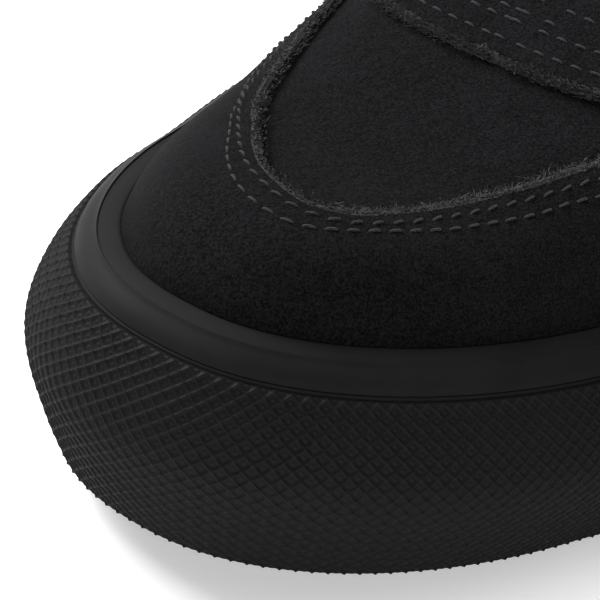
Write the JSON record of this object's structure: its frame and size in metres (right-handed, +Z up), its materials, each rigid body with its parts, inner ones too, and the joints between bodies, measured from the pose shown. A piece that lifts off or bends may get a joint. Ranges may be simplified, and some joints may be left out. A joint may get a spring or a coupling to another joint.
{
  "type": "skateboarding shoe",
  "caption": "Low left skateboarding shoe with suede upper, toe cap, padded collar, tongue, flat lace bars and a vulcanised rubber sole with a textured toe bumper.",
  "frame": {"origin": "on the floor under the middle of the shoe's bounding box", "axes": "+X to the toe, +Y to the outer side of the foot, +Z up"},
  "size_m": [0.2936, 0.099, 0.1146],
  "materials": {
    "suede": "napped black suede, matte",
    "smooth_rubber": "smooth vulcanised rubber tape, satin",
    "bumper_rubber": "knurled vulcanised rubber, dull satin",
    "tread_rubber": "moulded black rubber, dull",
    "lining": "brushed textile lining",
    "tongue_canvas": "plain weave canvas",
    "lace": "flat woven lace"
  },
  "bodies": {
    "root": {"outsole": "tread_rubber", "foxing": "smooth_rubber", "foxing_strip": "smooth_rubber", "toe_bumper": "bumper_rubber", "insole": "lining", "upper": "suede", "toe_cap": "suede", "eyestay": "suede", "heel_counter": "suede", "collar": "lining", "tongue": "tongue_canvas", "lace_bar_1": "lace", "lace_bar_2": "lace", "lace_bar_3": "lace", "lace_bar_4": "lace", "lace_bar_5": "lace", "lace_bar_6": "lace", "lace_bar_7": "lace"}
  },
  "joints": []
}
